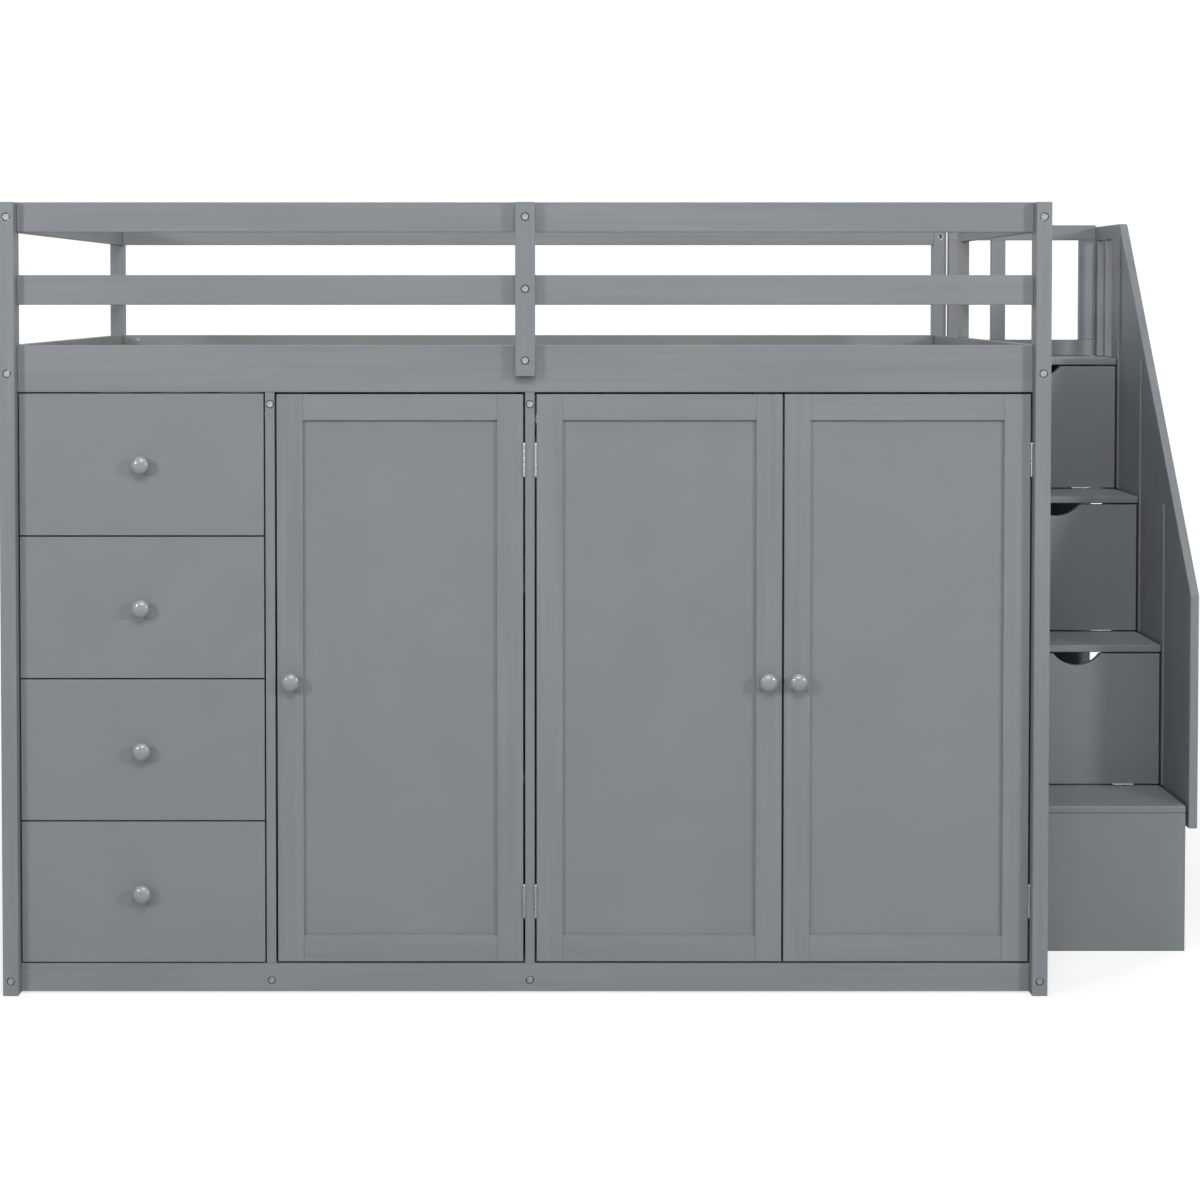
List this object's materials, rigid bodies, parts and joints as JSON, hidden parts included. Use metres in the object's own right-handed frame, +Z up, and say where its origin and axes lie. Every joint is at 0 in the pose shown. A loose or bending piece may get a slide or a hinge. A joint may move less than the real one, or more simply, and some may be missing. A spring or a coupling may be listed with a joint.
{
  "type": "loft bed with desk",
  "caption": "Low loft bed in painted wood with drawers, a shelf cupboard and a wardrobe below, a desk bay behind them and storage stairs with drop-down flaps.",
  "frame": {"origin": "on the floor, under the centre of the whole object's bounding box", "axes": "+X along the bed towards the stairs, +Y from the cupboard fronts to the back, +Z up"},
  "size_m": [2.377, 1.0864, 1.522],
  "materials": {
    "grey_paint": "satin grey paint on pine and board",
    "gloss_knob": "glossy grey paint on turned wood",
    "bare_pine": "planed bare pine",
    "steel": "bright zinc-plated steel"
  },
  "bodies": {
    "frame": {"post_front_left": "grey_paint", "post_front_right": "grey_paint", "post_back_left": "grey_paint", "post_back_right": "grey_paint", "front_top_rail": "grey_paint", "front_mid_rail": "grey_paint", "front_bed_rail": "grey_paint", "front_base_rail": "grey_paint", "front_guard_upright": "grey_paint", "back_top_rail": "grey_paint", "back_mid_rail": "grey_paint", "back_bed_rail": "grey_paint", "left_top_rail": "grey_paint", "left_mid_rail": "grey_paint", "left_bed_rail": "grey_paint", "left_base_rail": "grey_paint", "right_bed_rail": "grey_paint", "right_base_rail": "grey_paint", "right_guard_frame": "grey_paint", "slat_deck": "bare_pine", "case_left_end": "grey_paint", "left_partition": "grey_paint", "right_partition": "grey_paint", "case_right_end": "grey_paint", "case_back": "grey_paint", "case_floor": "grey_paint", "lower_shelf": "grey_paint", "upper_shelf": "grey_paint", "wardrobe_rod": "steel", "desk": "grey_paint", "tread_1": "grey_paint", "tread_2": "grey_paint", "tread_3": "grey_paint", "landing": "grey_paint", "stair_plinth": "grey_paint", "stair_left_side": "grey_paint", "handrail_panel": "grey_paint", "stair_back": "grey_paint", "back_guard": "grey_paint"},
    "drawer_1": {"drawer_front_1": "grey_paint", "drawer_box_1": "bare_pine", "drawer_knob_1": "gloss_knob"},
    "drawer_2": {"drawer_front_2": "grey_paint", "drawer_box_2": "bare_pine", "drawer_knob_2": "gloss_knob"},
    "drawer_3": {"drawer_front_3": "grey_paint", "drawer_box_3": "bare_pine", "drawer_knob_3": "gloss_knob"},
    "drawer_4": {"drawer_front_4": "grey_paint", "drawer_box_4": "bare_pine", "drawer_knob_4": "gloss_knob"},
    "shelf_door_leaf": {"shelf_door": "grey_paint", "shelf_door_knob": "gloss_knob"},
    "wardrobe_left_door_leaf": {"wardrobe_left_door": "grey_paint", "wardrobe_left_door_knob": "gloss_knob"},
    "wardrobe_right_door_leaf": {"wardrobe_right_door": "grey_paint", "wardrobe_right_door_knob": "gloss_knob"},
    "stair_flap_2": {"flap_2": "grey_paint"},
    "stair_flap_3": {"flap_3": "grey_paint"},
    "stair_flap_4": {"flap_4": "grey_paint"}
  },
  "joints": [
    {"name": "drawer_1_slide", "type": "slide", "parent": "frame", "child": "drawer_1", "axis": [0, -1, 0], "range_m": [0, 0.38]},
    {"name": "drawer_2_slide", "type": "slide", "parent": "frame", "child": "drawer_2", "axis": [0, -1, 0], "range_m": [0, 0.38]},
    {"name": "drawer_3_slide", "type": "slide", "parent": "frame", "child": "drawer_3", "axis": [0, -1, 0], "range_m": [0, 0.38]},
    {"name": "drawer_4_slide", "type": "slide", "parent": "frame", "child": "drawer_4", "axis": [0, -1, 0], "range_m": [0, 0.38]},
    {"name": "shelf_door_hinge", "type": "hinge", "parent": "frame", "child": "shelf_door_leaf", "pos_m": [-0.1885, -0.51835, 0.608], "axis": [0, 0, 1], "range_deg": [0, 85]},
    {"name": "wardrobe_left_door_hinge", "type": "hinge", "parent": "frame", "child": "wardrobe_left_door_leaf", "pos_m": [-0.1665, -0.51835, 0.608], "axis": [0, 0, -1], "range_deg": [0, 85]},
    {"name": "wardrobe_right_door_hinge", "type": "hinge", "parent": "frame", "child": "wardrobe_right_door_leaf", "pos_m": [0.7835, -0.51835, 0.608], "axis": [0, 0, 1], "range_deg": [0, 95]},
    {"name": "stair_flap_2_hinge", "type": "hinge", "parent": "frame", "child": "stair_flap_2", "pos_m": [0.9895, -0.08235, 0.3025], "axis": [1, 0, 0], "range_deg": [0, 90]},
    {"name": "stair_flap_3_hinge", "type": "hinge", "parent": "frame", "child": "stair_flap_3", "pos_m": [0.9895, 0.09715, 0.6025], "axis": [1, 0, 0], "range_deg": [0, 90]},
    {"name": "stair_flap_4_hinge", "type": "hinge", "parent": "frame", "child": "stair_flap_4", "pos_m": [0.9895, 0.27665, 0.9025], "axis": [1, 0, 0], "range_deg": [0, 90]}
  ]
}
